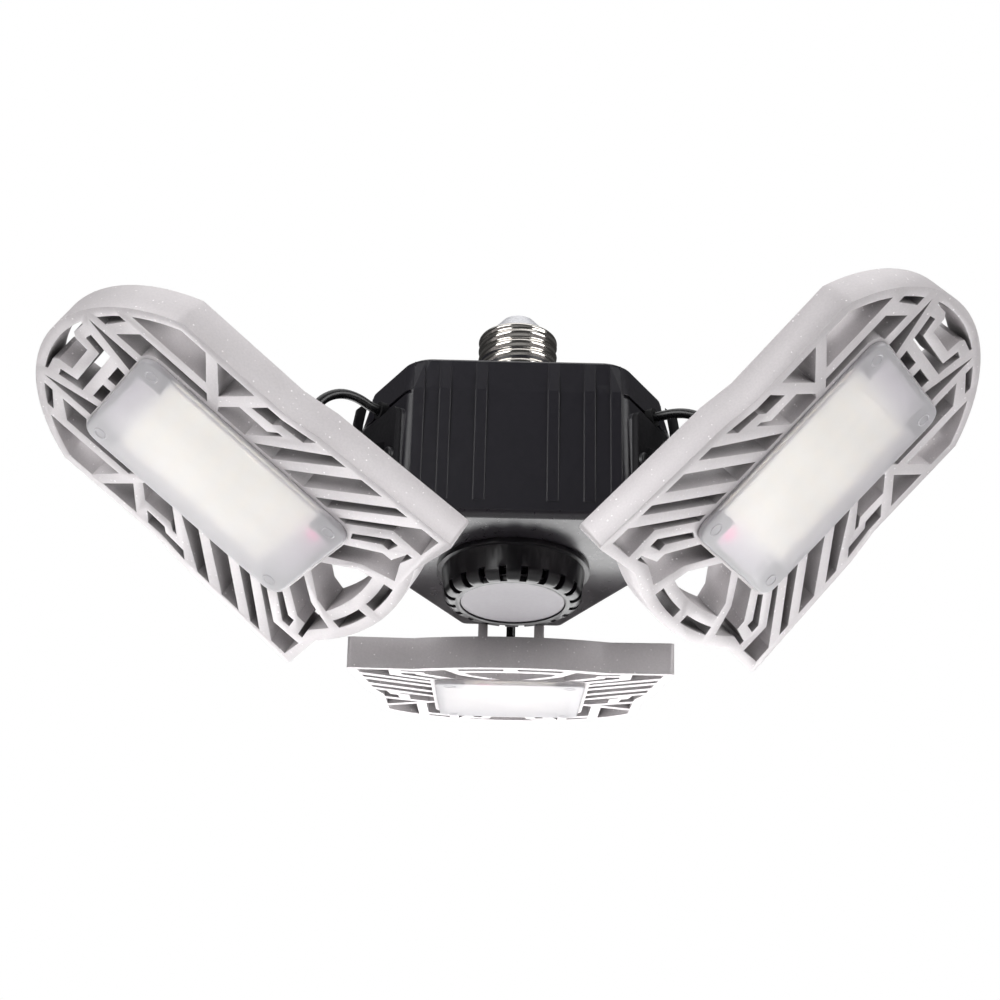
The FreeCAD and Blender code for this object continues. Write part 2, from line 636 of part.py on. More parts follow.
def side_slots():
    """Slots on one side of the panel, as (outward, across) outlines."""
    end = LENS_X1 + LENS_END_WEB
    rim_y = SIDE_STEP[1] - RIM_T
    top, upper = NOSE_BAR_OUT
    lower, low = NOSE_BAR_IN
    return [
        [rim(3.4), (3.4, 40.3), (13.8, 40.3), web(24.1), web(26.7), rim(9.4)],
        [rim(14.5), web(31.0), web(35.4), rim(18.5)],
        [rim(23.6), web(39.9), web(47.3), rim(30.9)],
        [rim(36.3), web(51.7), web(58.5), rim(41.3)],
        [rim(46.9), (49.3, 43.3), (57.0, 42.3), (58.7, 39.9), (66.0, 39.3), rim(63.1), rim(57.8), rim(56.0)],
        [(54.4, 38.8), web(62.0), web(72.1), (72.7, 28.9), (68.6, 35.6), (58.4, 35.6), (56.0, 38.7)],
        [rim(67.8), (74.7, 32.7), rim(81.3)],
        [nose_rim(rim_y), (nose_rim((rim_y + top) / 2), "arc"), nose_rim(top), (79.9, top), rim(85.5)],
        [(77.7, upper), web(76.0), web(93.0), (95.2, 26.4), (96.9, 24.6), (end, lower), (end + 9.2, lower),
         (end + 4.2, upper)],
        [(end + 9.4, upper), (end + 13.2, lower), nose_rim(lower), (nose_rim((lower + upper) / 2), "arc"),
         nose_rim(upper)],
        [(end, low), (end, 12.9), nose_rim(low)],
        [(end, 9.5), (end, 2.0), (end + 3.0, 2.0), (end + 3.0, 10.0)],
        [(4.2, 36.3), (5.1, 30.5), (1.7, 21.7), (11.6, 17.0), (19.5, 8.2), (19.5, 18.4), (10.6, 28.4),
         (7.4, 28.7), (5.9, 36.3)],
        [(9.6, 36.3), (10.3, 31.6), (12.6, 31.6), (19.6, 23.3), (20.6, 25.6), (12.4, 36.3)],
        [bulge_point(17.6, 3.6), (bulge_point(9.0, 3.6), "arc"), bulge_point(2.4, 3.6),
         bulge_point(2.4, 6.7), (bulge_point(9.0, 6.7), "arc"), bulge_point(16.8, 6.7)],
    ]


def middle_slots():
    """Slots across the mirror axis."""
    end = LENS_X1 + LENS_END_WEB
    bracket_half = [(end + 6.4, 11.6), (end + 9.2, 12.1), (end + 14.5, 13.5), (end + 15.1, 10.6),
                    (end + 9.4, 9.1)]
    tip_half = [(end + 12.6, 6.3), (end + 17.3, 7.1), (end + 18.7, 9.0), (end + 18.1, 14.8), nose_rim(15.3)]
    window_half = [(19.5, 3.4), (11.1, 13.5), bulge_point(15.3, 10.6)]
    return [
        bracket_half + mirrored(bracket_half),
        tip_half + [(nose_rim(0), "arc")] + mirrored(tip_half),
        window_half + [(bulge_point(0, 10.6), "arc")] + mirrored(window_half),
    ]


def panel_cutters(z0, z1):
    outlines = middle_slots()
    for slot in side_slots():
        outlines += [slot, mirrored(slot)]
    cutters = []
    for outline in outlines:
        cutters.append(prism(outline, z0, z1))
    return cutters


def seat_outline(inset):
    """Cross-shaped outline of the LED pocket: a rectangle less its four screw corners."""
    x0, x1 = LENS_X0 + POCKET_MARGIN + inset, LENS_X1 - POCKET_MARGIN - inset
    half = LENS_HALF - POCKET_MARGIN - inset
    notch = BOSS_SQ
    quarter = [(x0, half - notch), (x0 + notch, half - notch), (x0 + notch, half),
               (x1 - notch, half), (x1 - notch, half - notch), (x1, half - notch)]
    return quarter + mirrored(quarter)


def lens_screw_places():
    xs = (LENS_X0 + LENS_SCREW_IN, LENS_X1 - LENS_SCREW_IN)
    across = LENS_HALF - LENS_SCREW_IN
    return [(x, y) for x in xs for y in (-across, across)]


def ears():
    """Two ears that rise from the panel's back to the hinge bolt, in hinge coordinates."""
    profile = [(-EAR_FOOT, BACK_Z - 1), (EAR_FOOT, BACK_Z - 1), (EAR_FOOT, BACK_Z),
               (EAR_R, 0), ((0, EAR_R), "arc"), (-EAR_R, 0), (-EAR_FOOT, BACK_Z)]
    flat = face(profile)
    flat.rotate(V(0, 0, 0), V(1, 0, 0), 90)
    out = []
    for low in (EAR_IN, -EAR_IN - EAR_T):
        ear = flat.extrude(V(0, EAR_T, 0))
        ear.translate(V(0, low, 0))
        out.append(ear)
    return out


def heat_sink():
    plate = prism(panel_outline(), FACE_Z, BACK_Z)
    cutters = panel_cutters(FACE_Z - 1, BACK_Z + 1)
    cutters.append(prism(seat_outline(0), FACE_Z - 1, POCKET_Z))
    pitch = (2 * FIN_HALF + FIN_T) / FIN_COUNT
    for i in range(FIN_COUNT):
        y = -FIN_HALF + i * pitch
        cutters.append(box(FIN_X0, FIN_X1, y, y + pitch - FIN_T, BACK_Z - FIN_DEPTH, BACK_Z + 1))
    for x, y in lens_screw_places():
        cutters.append(cylinder(LENS_POST_R + HOLE_FIT, FACE_Z - 1, FACE_Z + LENS_POST_L + HOLE_FIT, x, y))
        cutters.append(cylinder(LENS_SCREW_R + HOLE_FIT, FACE_Z, BACK_Z + 1, x, y))
    gland_x = PANEL_GLAND_X - SHOULDER_X
    cutters.append(cylinder(PANEL_GLAND_R - 1, POCKET_Z - 1, BACK_Z + 1, gland_x, 0))
    plate = plate.cut(Part.makeCompound(cutters))
    plate.translate(V(SHOULDER_X, 0, 0))
    sink = fuse([plate] + ears())
    return sink.cut(cross_hole(BOLT_R + BOLT_RUN, EAR_IN + EAR_T + 1))


def led_board():
    board = prism(seat_outline(BOARD_GAP), POCKET_Z - BOARD_T, POCKET_Z)
    board.translate(V(SHOULDER_X, 0, 0))
    return board


def leds():
    """Rows of LEDs on the panel's board."""
    x0 = LENS_X0 + POCKET_MARGIN + BOSS_SQ + CHIP_L
    x1 = LENS_X1 - POCKET_MARGIN - BOSS_SQ - CHIP_L
    half = LENS_HALF - POCKET_MARGIN - CHIP_L
    z = POCKET_Z - BOARD_T
    chips = []
    for i in range(CHIP_COLS):
        for j in range(CHIP_ROWS):
            x = x0 + (x1 - x0) * i / (CHIP_COLS - 1) + SHOULDER_X
            y = -half + 2 * half * j / (CHIP_ROWS - 1)
            chips.append(box(x - CHIP_L / 2, x + CHIP_L / 2, y - CHIP_W / 2, y + CHIP_W / 2, z - CHIP_T, z))
    return Part.makeCompound(chips)


def lens_cover():
    x0, x1, y1 = LENS_X0 + SHOULDER_X, LENS_X1 + SHOULDER_X, LENS_HALF
    cover = box(x0, x1, -y1, y1, LENS_FACE_Z, FACE_Z)
    upright = [e for e in cover.Edges if e.BoundBox.ZLength > LENS_PROUD / 2]
    cover = cover.makeFillet(LENS_R, upright)
    rim = [e for e in cover.Edges if e.BoundBox.ZMax < LENS_FACE_Z + 0.01]
    cover = cover.makeChamfer(LENS_T / 2, rim)
    inside = prism(seat_outline(0), LENS_FACE_Z + LENS_T, FACE_Z + 1)
    inside.translate(V(SHOULDER_X, 0, 0))
    end_z = FACE_Z + LENS_POST_L
    places = [(x + SHOULDER_X, y) for x, y in lens_screw_places()]
    posts = [cylinder(LENS_POST_R, LENS_FACE_Z + LENS_T / 2, end_z, x, y) for x, y in places]
    bores = [cylinder(LENS_SCREW_R + HOLE_FIT, end_z - LENS_SCREW_BITE, end_z + 1, x, y) for x, y in places]
    return fuse([cover.cut(inside)] + posts).cut(Part.makeCompound(bores))


def cover_screws():
    """Screws from the panel's back into the cover's posts."""
    screws = []
    end_z = FACE_Z + LENS_POST_L - LENS_SCREW_BITE + 2 * HOLE_FIT
    for x, y in lens_screw_places():
        shank = cylinder(LENS_SCREW_R, end_z, BACK_Z, x + SHOULDER_X, y)
        head = cylinder(LENS_HEAD_R, BACK_Z, BACK_Z + LENS_HEAD_H, x + SHOULDER_X, y)
        edge = [e for e in head.Edges if e.CenterOfMass.z > BACK_Z + LENS_HEAD_H - HOLE_FIT]
        screws.append(shank.fuse(head.makeFillet(LENS_HEAD_H / 2, edge)))
    return Part.makeCompound(screws)


def hex_prism(across_flats, y0, y1):
    """Hexagonal prism along Y."""
    radius = across_flats / math.sqrt(3)
    points = [(radius * math.cos(math.radians(60 * i)), radius * math.sin(math.radians(60 * i)))
              for i in range(6)]
    flat = face(points)
    flat.rotate(V(0, 0, 0), V(1, 0, 0), 90)
    out = flat.extrude(V(0, y1 - y0, 0))
    out.translate(V(0, y0, 0))
    return out


def hinge_bolt():
    """Bolt with its head on the +Y ear, in hinge coordinates."""
    seat = EAR_IN + EAR_T
    tail = -seat - WASHER_T - NUT_H - BOLT_TAIL
    shank = Part.makeCylinder(BOLT_R, seat - tail, V(0, tail, 0), V(0, 1, 0))
    return shank.fuse(hex_prism(HEAD_AF, seat, seat + HEAD_H)).removeSplitter()


def hinge_nut():
    """Washer and nut on the -Y ear."""
    seat = -EAR_IN - EAR_T
    washer = Part.makeCylinder(WASHER_R, WASHER_T, V(0, seat - WASHER_T, 0), V(0, 1, 0))
    nut = hex_prism(HEAD_AF, seat - WASHER_T - NUT_H, seat - WASHER_T)
    bore = cross_hole(BOLT_R + HOLE_FIT, EAR_IN * 3)
    return Part.makeCompound([washer.cut(bore), nut.cut(bore)])


def panel_gland():
    """Grommet on the panel's back where its lead enters."""
    foot = cylinder(PANEL_GLAND_R, BACK_Z, BACK_Z + PANEL_GLAND_H / 3, PANEL_GLAND_X, 0)
    neck = cylinder(PANEL_GLAND_R * 0.7, BACK_Z, BACK_Z + PANEL_GLAND_H, PANEL_GLAND_X, 0)
    stem = cylinder(PANEL_GLAND_R - 1 - HOLE_FIT, BACK_Z - PANEL_GLAND_H / 2, BACK_Z, PANEL_GLAND_X, 0)
    return fuse([foot, neck, stem])


# ---- leads ------------------------------------------------------------------
def housing_gland():
    """Grommet in the narrow face at the crease, drawn for azimuth 0."""
    foot = V(CREASE_NARROW - GLAND_IN, 0, gland_z())
    length = GLAND_IN + GLAND_PROUD
    sleeve = Part.makeCylinder(GLAND_R, length, foot, V(1, 0, 0))
    return sleeve.cut(Part.makeCylinder(LEAD_R + LEAD_FIT, length, foot, V(1, 0, 0)))


def lead_route(side):
    """Route of a lead in the plane of its hinge: from the housing's gland to the panel's."""
    start = V(gland_tip() - LEAD_IN, 0, gland_z())
    bend = V(gland_tip() + LEAD_OUT, 0, gland_z())
    t = math.radians(TILT[side])
    x, z = PANEL_GLAND_X, BACK_Z + PANEL_GLAND_H + LEAD_GAP
    end = V(HINGE_R + x * math.cos(t) - z * math.sin(t), 0, HINGE_Z + x * math.sin(t) + z * math.cos(t))
    before = end + V(-math.sin(t), 0, math.cos(t)) * LEAD_END
    free = [V(r, 0, h) for r, h in LEAD_POINTS[side]]
    return [start, bend] + free + [before, end]


def gland_tip():
    return CREASE_NARROW + GLAND_PROUD


def lead(side):
    """Tube of straight runs joined by tangent arcs."""
    route = lead_route(side)
    edges = []
    at = route[0]
    radii = []
    for before, corner, after in zip(route, route[1:], route[2:]):
        a, b = (before - corner), (after - corner)
        turn = math.pi - a.getAngle(b)
        reach = 0.45 * min(a.Length, b.Length)
        radius = reach / math.tan(turn / 2)
        start, end = corner + a.normalize() * reach, corner + b.normalize() * reach
        bisector = (a + b).normalize()
        middle = corner + bisector * (radius / math.cos(turn / 2) - radius)
        edges += [Part.LineSegment(at, start).toShape(), Part.Arc(start, middle, end).toShape()]
        at = end
        radii.append(round(radius, 1))
    edges.append(Part.LineSegment(at, route[-1]).toShape())
    path = Part.Wire(edges)
    across = route[1] - route[0]
    section = Part.Wire([Part.Circle(route[0], across, LEAD_R).toShape()])
    tube = path.makePipeShell([section], True, True)
    print("lead", side, "radii", radii, "length", round(path.Length, 1),
          "volume ratio", round(tube.Volume / (path.Length * math.pi * LEAD_R ** 2), 4))
    return turned(tube, AZIMUTH[side])


def main():
    export(screw_shell(), "screw_shell")
    export(base_insulator(), "base_insulator")
    export(centre_contact(), "centre_contact")
    export(upper_housing(), "upper_housing")
    export(lower_cover(), "lower_cover")
    export(lamp_ring(), "lamp_ring")
    export(centre_lens(), "centre_lens")
    export(centre_board(), "centre_board")
    export(centre_leds(), "centre_leds")
    export(driver_board(), "driver_board")
    export(driver_parts(), "driver_parts")
    export(bracket_screws(), "bracket_screws")
    on_hinge = {
        "heat_sink": heat_sink(), "led_board": led_board(), "leds": leds(), "lens_cover": lens_cover(),
        "cover_screws": cover_screws(), "hinge_bolt": hinge_bolt(), "hinge_nut": hinge_nut(),
        "panel_gland": panel_gland()}
    for side in AZIMUTH:
        export(bracket(side), "bracket_" + side)
        export(turned(housing_gland(), AZIMUTH[side]), "gland_" + side)
        for name, shape in on_hinge.items():
            export(on_panel(shape, side), name + "_" + side)
        export(lead(side), "lead_" + side)


main()
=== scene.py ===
"""Screw-in garage light with three hinged lattice panels: looks, light and camera."""
import bpy
import bmesh
import json
import math
from mathutils import Matrix, Vector

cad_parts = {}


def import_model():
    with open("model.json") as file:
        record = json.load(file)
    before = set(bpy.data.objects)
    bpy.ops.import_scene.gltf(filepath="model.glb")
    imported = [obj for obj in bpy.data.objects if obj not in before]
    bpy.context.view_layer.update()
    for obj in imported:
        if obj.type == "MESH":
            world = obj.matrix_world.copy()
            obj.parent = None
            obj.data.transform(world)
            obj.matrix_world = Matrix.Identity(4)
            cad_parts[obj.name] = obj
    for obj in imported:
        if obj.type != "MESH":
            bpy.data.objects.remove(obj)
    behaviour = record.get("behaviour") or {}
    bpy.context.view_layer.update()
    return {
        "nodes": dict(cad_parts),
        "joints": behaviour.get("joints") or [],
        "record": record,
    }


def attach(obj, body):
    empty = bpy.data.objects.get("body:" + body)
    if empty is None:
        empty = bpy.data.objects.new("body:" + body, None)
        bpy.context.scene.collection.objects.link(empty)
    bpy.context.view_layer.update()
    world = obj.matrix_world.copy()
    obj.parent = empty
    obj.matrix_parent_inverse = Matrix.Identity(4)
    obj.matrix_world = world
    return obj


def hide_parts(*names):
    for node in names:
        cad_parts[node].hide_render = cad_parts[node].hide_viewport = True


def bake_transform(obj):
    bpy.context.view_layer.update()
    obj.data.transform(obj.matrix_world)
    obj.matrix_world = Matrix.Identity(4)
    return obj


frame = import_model()
NODES = frame["nodes"]
SIDES = ("back", "left", "right")
HINGE = {side: joint for side in SIDES for joint in frame["joints"] if joint["child"] == "panel_" + side}
SLOT = {s["node"]: s["material_slot"] for s in frame["record"]["subparts"]}
MM = 0.001

# leads, in millimetres; a place is its distance from the lamp axis and its height
LEAD_R = 1.55
GLAND_TIP_R, GLAND_Z = 50.0, -23.5      # outer end of the housing's glands
LEAD_IN, LEAD_OUT = 4.0, 1.55           # straight start of a lead, within and beyond the gland's tip
PANEL_END_X, PANEL_END_Z = 14.0, -15.7  # end of a lead, outward of the hinge bolt and above it
LEAD_END = 7.5                          # straight end of a lead, square to the panel's back
ROUTE_STEPS, TUBE_STEPS = 12, 6         # steps along and round a lead
# points of each lead's route between its two straight ends
LEAD_POINTS = {
    "back": ((58.4, -22.6), (64.9, -24.2), (70.3, -28.6), (73.6, -35.6), (75.0, -44.5)),
    "left": ((57.4, -20.9), (64.0, -21.1), (70.1, -25.6), (73.0, -32.6), (74.0, -41.0)),
    "right": ((58.4, -23.9), (64.6, -26.5), (69.6, -31.3), (73.4, -38.2)),
}

# screw shell, in millimetres
SHELL_R, SHELL_H, SHELL_LIP = 13.0, 17.3, 1.4
THREAD_DEPTH, THREAD_PITCH = 0.75, 3.63
THREAD_POWER, SHELL_WALL = 0.8, 0.3     # power of the thread's wave (under 1: wide crests), and the wall

# LED zone under a frosted cover, where the board's painted light is brightest, in the panel's plan from its
# hinge bolt, in millimetres
ZONE_X, ZONE_HALF_X, ZONE_HALF_Y, ZONE_SOFT = 29.5, 28.5, 21.0, 5.0
# red joint of the wires on the board, which glows with painted light: place, radius and height as a share
# of its width
JOINT_X, JOINT_Y, JOINT_Z, JOINT_R = -2.0, 9.0, -28.7, 2.4
JOINT_FLAT = 0.4
# rings that the posts leave on the frosted covers: places, radius, half thickness and height
POST_PLACES = [(x, y) for x in (-3.8, 62.7) for y in (-20.4, 20.4)]
MARK_R, MARK_T, MARK_Z = 1.9, 0.35, -32.55

# housing, in millimetres
WIDE_AZIMUTHS = (30.0, 150.0, 270.0)
CREASE_Z, SHOULDER_Z = -22.3, -11.4
CREASE_WIDE, SHOULDER_WIDE = 37.5, 36.3  # wide faces at those heights, from the lamp axis
CORNER_RIB = (28.0, 33.0)               # outermost ribs, from the middle of a wide face
CORNER_FLAT, CORNER_R = 26.6, 9.5       # where the rounded corners start at the top, and their radius
RIB_SINKS_FROM = 0.1                    # share of the rise from crease to shoulder
FACE_SLACK = 0.08                       # corners up to this far inside a wide face count as on a rib
WING_FOOT_Z, WING_FACE_R = -27.0, 50.3  # bracket wings, and how far out their inner faces reach
WING_SHIFT = 1.3                        # how much nearer to the housing those faces stand

# rounded edges of the softened copies, in millimetres
PANEL_EDGE, COVER_EDGE, BOARD_EDGE, BRACKET_EDGE, RING_EDGE = 0.35, 0.3, 0.1, 0.2, 0.2
SOFT_ANGLE, SOFT_STEPS = 35.0, 2        # edges sharper than this (degrees) are rounded, in this many steps
WELD, FLAT_ANGLE = 1e-6, 0.6            # corners this near (m) are joined, faces this flat (degrees) merged


# ---- materials --------------------------------------------------------------
PAINTED_SHADE_DEPTH = 9.0        # depth of the panels' slots, as far as the painted shade in them reaches, in millimetres
GRAIN_DEPTH = 0.1   # depth of a fine surface grain, in millimetres
HOUSING_EDGE = 0.35  # roundness of the housing's edges, in millimetres
SHADE_RAYS = 6      # samples of the shaders that look at the surface nearby


class Nodes:
    """Short forms for building the node tree of a material or of the world."""

    def __init__(self, owner, output="OutputMaterial"):
        owner.use_nodes = True
        self.owner = owner
        self.tree = owner.node_tree
        self.tree.nodes.clear()
        self.out = self.tree.nodes.new("ShaderNode" + output)

    def feed(self, socket, value):
        """Links an output to a socket, or sets the socket to a number or colour."""
        if hasattr(value, "is_output"):
            self.tree.links.new(value, socket)
        else:
            socket.default_value = value

    def add(self, kind, **inputs):
        """Adds a node. A name with a leading underscore is a setting, any other one an input."""
        node = self.tree.nodes.new("ShaderNode" + kind)
        for key, value in inputs.items():
            if key.startswith("_"):
                setattr(node, key[1:], value)
            else:
                self.feed(node.inputs[key.replace("_", " ")], value)
        return node

    def place(self):
        return self.add("TexCoord").outputs["Object"]

    def ramp(self, fac, stops):
        node = self.add("ValToRGB", Fac=fac)
        elements = node.color_ramp.elements
        while len(elements) < len(stops):
            elements.new(0.5)
        for element, (at, colour) in zip(elements, stops):
            element.position = at
            element.color = (*colour, 1)
        return node.outputs["Color"]

    def noise(self, scale, detail=2.0, rough=0.5, place=None):
        return self.add("TexNoise", Vector=place or self.place(), Scale=scale, Detail=detail,
                        Roughness=rough).outputs["Fac"]

    def math(self, operation, *values):
        node = self.add("Math", _operation=operation)
        for socket, value in zip(node.inputs, values):
            self.feed(socket, value)
        return node.outputs[0]

    def fade(self, value, start, end):
        """1 up to start, 0 from end, with a smooth step between."""
        return self.add("MapRange", _interpolation_type="SMOOTHSTEP", Value=value,
                        From_Min=start, From_Max=end, To_Min=1.0, To_Max=0.0).outputs[0]

    def mix(self, factor, a, b, blend="MIX"):
        node = self.add("Mix", _data_type="RGBA", _blend_type=blend)
        self.feed(node.inputs[0], factor)
        for socket, colour in ((node.inputs[6], a), (node.inputs[7], b)):
            self.feed(socket, (*colour, 1) if isinstance(colour, tuple) else colour)
        return node.outputs[2]

    def bump(self, height, strength, distance=GRAIN_DEPTH, **under):
        """Normal of a surface with a relief, distance (mm) high."""
        relief = self.add("Bump", Height=height, Strength=strength, Distance=distance * MM, **under)
        return relief.outputs["Normal"]

    def finish(self, shader):
        self.tree.links.new(shader.outputs[0], self.out.inputs["Surface"])
        return self.owner

    def principled(self, **inputs):
        return self.finish(self.add("BsdfPrincipled", **inputs))


def new_material(name):
    return Nodes(bpy.data.materials.new(name))


def grey(v):
    return (v, v, v)


def shade(colour, factor):
    return tuple(c * factor for c in colour)


def cast_alloy():
    """Silver-painted casting: fine grain, slight clouds, sparse bright specks painted in as glints, and
    painted shade that darkens its slots and hollows.
    """
    n = new_material("cast_alloy")
    place = n.place()
    grain = n.noise(1500, 3, 0.6, place)
    cloud = n.noise(45, 3, 0.5, place)
    speck = n.add("TexVoronoi", Vector=place, Scale=520.0).outputs["Distance"]
    sparse = n.ramp(n.noise(800, 2, 0.5, place), [(0.50, grey(0.0)), (0.56, grey(1.0))])
    base = n.ramp(cloud, [(0.3, (0.69, 0.655, 0.668)), (0.7, (0.74, 0.705, 0.718))])
    base = n.mix(1.0, base, n.ramp(grain, [(0.35, grey(0.93)), (0.65, grey(1.0))]), "MULTIPLY")
    # painted shade: the base colour darkens in slots and hollows that nearby surfaces close in
    painted_shade = n.add("AmbientOcclusion", _samples=SHADE_RAYS, Distance=PAINTED_SHADE_DEPTH * MM).outputs["AO"]
    base = n.mix(1.0, base, n.ramp(painted_shade, [(0.25, grey(0.28)), (0.80, grey(1.0))]), "MULTIPLY")
    # painted glints: sparse bright specks added into the base colour, standing in for flakes catching light
    painted_glint = n.mix(1.0, n.ramp(speck, [(0.0, grey(1.0)), (0.20, grey(0.0))]), sparse, "MULTIPLY")
    rough = n.ramp(grain, [(0.3, grey(0.42)), (0.7, grey(0.58))])
    return n.principled(Base_Color=n.mix(0.55, base, painted_glint, "ADD"), Metallic=0.25, Roughness=rough,
                        Normal=n.bump(grain, 0.25, 0.12))


def moulded(name, colour, rough, grain=900, strength=0.15, edge=0.0, **inputs):
    """Moulded plastic, paint or rubber with a fine surface grain, and edges rounded to edge (mm)."""
    n = new_material(name)
    place = n.place()
    fine = n.noise(grain, 3, 0.6, place)
    cloud = n.noise(30, 2, 0.5, place)
    base = n.ramp(cloud, [(0.3, shade(colour, 0.85)), (0.7, colour)])
    roughness = n.ramp(fine, [(0.3, grey(rough * 0.88)), (0.7, grey(rough * 1.12))])
    under = {}
    if edge:
        under["Normal"] = n.add("Bevel", _samples=SHADE_RAYS, Radius=edge * MM).outputs[0]
    normal = n.bump(fine, strength, **under)
    return n.principled(Base_Color=base, Roughness=roughness, Normal=normal, **inputs)


def metal(name, colour, rough):
    """Bare metal with slight smears and a faint grain."""
    n = new_material(name)
    place = n.place()
    fine = n.noise(400, 3, 0.6, place)
    smear = n.noise(60, 3, 0.6, place)
    base = n.ramp(smear, [(0.3, shade(colour, 0.9)), (0.7, colour)])
    roughness = n.ramp(smear, [(0.3, grey(rough * 0.8)), (0.7, grey(rough * 1.25))])
    return n.principled(Base_Color=base, Metallic=1.0, Roughness=roughness, Normal=n.bump(fine, 0.05))


def frosted_cover():
    """Milky cover through which the LED zone shows, with a faint painted glow standing in for light
    scattered in it.
    """
    n = new_material("frosted_cover")
    place = n.place()
    fine = n.noise(1800, 2, 0.5, place)
    cloud = n.noise(60, 2, 0.5, place)
    base = n.ramp(cloud, [(0.3, (0.755, 0.742, 0.765)), (0.7, (0.805, 0.792, 0.815))])
    # painted light: the faint emission is a glow of the cover itself
    return n.principled(Base_Color=base, Roughness=0.38, Transmission_Weight=0.50, IOR=1.45,
                        Emission_Color=(0.80, 0.74, 0.82, 1), Emission_Strength=0.03,
                        Normal=n.bump(fine, 0.10))


def led_board():
    """White LED board with painted light: a glow, brightest round its LEDs, in place of the light that
    reaches it through the cover.
    """
    n = new_material("board_white")
    fine = n.noise(500)
    base = n.ramp(fine, [(0.3, (0.80, 0.79, 0.78)), (0.7, (0.86, 0.85, 0.83))])
    plan = n.add("SeparateXYZ", Vector=n.add("UVMap", _uv_map="plan").outputs[0]).outputs
    along = n.math("ABSOLUTE", n.math("SUBTRACT", plan[0], ZONE_X))
    across = n.math("ABSOLUTE", plan[1])
    zone = n.math("MULTIPLY", n.fade(along, ZONE_HALF_X - ZONE_SOFT, ZONE_HALF_X + ZONE_SOFT),
                  n.fade(across, ZONE_HALF_Y - ZONE_SOFT, ZONE_HALF_Y + ZONE_SOFT))
    # painted light: the board glows lilac all over and warm white in the LED zone
    glow = n.mix(zone, (0.42, 0.36, 0.45), (1.38, 1.42, 1.20))
    return n.principled(Base_Color=base, Roughness=0.45, Emission_Color=glow, Emission_Strength=1.0)


def plain(name, colour, glow=0.0, glow_colour=None):
    """Even surface that may glow."""
    n = new_material(name)
    base = n.ramp(n.noise(500), [(0.3, shade(colour, 0.95)), (0.7, colour)])
    return n.principled(Base_Color=base, Roughness=0.45, Emission_Color=(*(glow_colour or colour), 1),
                        Emission_Strength=glow)


MATERIALS = {
    "cast_alloy": cast_alloy(),
    "black_housing": moulded("black_housing", (0.0100, 0.0088, 0.0140), 0.36, edge=HOUSING_EDGE,
                             Specular_IOR_Level=0.6),
    "gloss_cover": moulded("gloss_cover", (0.020, 0.017, 0.022), 0.30, 500, 0.01, IOR=1.5, Coat_Weight=0.3,
                           Coat_Roughness=0.2),
    "gloss_ring": moulded("gloss_ring", (0.005, 0.004, 0.006), 0.32, 500, 0.02, IOR=1.55),
    "frosted_disc": moulded("frosted_disc", (0.30, 0.28, 0.305), 0.45, 700, 0.05),
    "frosted_cover": frosted_cover(),
    "board_white": led_board(),
    "led": plain("led", (0.90, 0.82, 0.55), 1.3, (1.0, 0.93, 0.80)),
    "driver_pcb": plain("driver_pcb", (0.02, 0.12, 0.05)),
    "driver_parts": moulded("driver_parts", (0.02, 0.02, 0.03), 0.5),
    "nickel": metal("nickel", (0.70, 0.67, 0.63), 0.14),
    "tin": metal("tin", (0.72, 0.72, 0.72), 0.25),
    "steel": metal("steel", (0.60, 0.59, 0.58), 0.28),
    "black_steel": moulded("black_steel", (0.012, 0.012, 0.014), 0.40),
    "bracket_grey": moulded("bracket_grey", (0.013, 0.0125, 0.0145), 0.55, Specular_IOR_Level=0.15),
    "rubber": moulded("rubber", (0.010, 0.010, 0.011), 0.6, Specular_IOR_Level=0.3),
    "lead_rubber": moulded("lead_rubber", (0.006, 0.006, 0.007), 0.28, 600, 0.08),
    "white_insulator": moulded("white_insulator", (0.74, 0.74, 0.78), 0.28),
}
CENTRE_BOARD = plain("board_black", (0.010, 0.010, 0.012))
UNLIT_LED = plain("unlit_led", (0.45, 0.40, 0.22))
# painted light: the wire joint glows pink though it is no lamp
PAINTED_GLOW_JOINT = plain("wire_joint", (0.75, 0.12, 0.22), 2.2, (1.0, 0.10, 0.42))


def paint(obj, material):
    obj.data.materials.clear()
    obj.data.materials.append(material)


for name, node in NODES.items():
    paint(node, MATERIALS[SLOT[name]])
paint(NODES["centre_board"], CENTRE_BOARD)
paint(NODES["centre_leds"], UNLIT_LED)


# ---- pieces over the CAD nodes ----------------------------------------------
def link(name, data):
    obj = bpy.data.objects.new(name, data)
    bpy.context.scene.collection.objects.link(obj)
    return obj


def smooth(mesh):
    for polygon in mesh.polygons:
        polygon.use_smooth = True


def stand_for(obj, node, body):
    """Shows a piece in a CAD node's place and material, and lets it ride on a body."""
    paint(obj, MATERIALS[SLOT[node]])
    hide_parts(node)
    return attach(obj, body)


def panel_frame(side):
    """From a panel's own axes (outward, across, up; origin on its hinge bolt) to the room."""
    hinge = Vector(HINGE[side]["pos_m"])
    tilt = math.radians(-HINGE[side]["range_deg"][0])
    turn = Matrix.Rotation(math.atan2(hinge.y, hinge.x), 4, "Z")
    return Matrix.Translation(hinge) @ turn @ Matrix.Rotation(-tilt, 4, "Y")


def add_plan(mesh, side):
    """UV map that holds each corner's place in the panel's plan, in millimetres."""
    back = panel_frame(side).inverted()
    plan = mesh.uv_layers.new(name="plan")
    places = [back @ v.co for v in mesh.vertices]
    for loop in mesh.loops:
        place = places[loop.vertex_index]
        plan.data[loop.index].uv = (place.x / MM, place.y / MM)


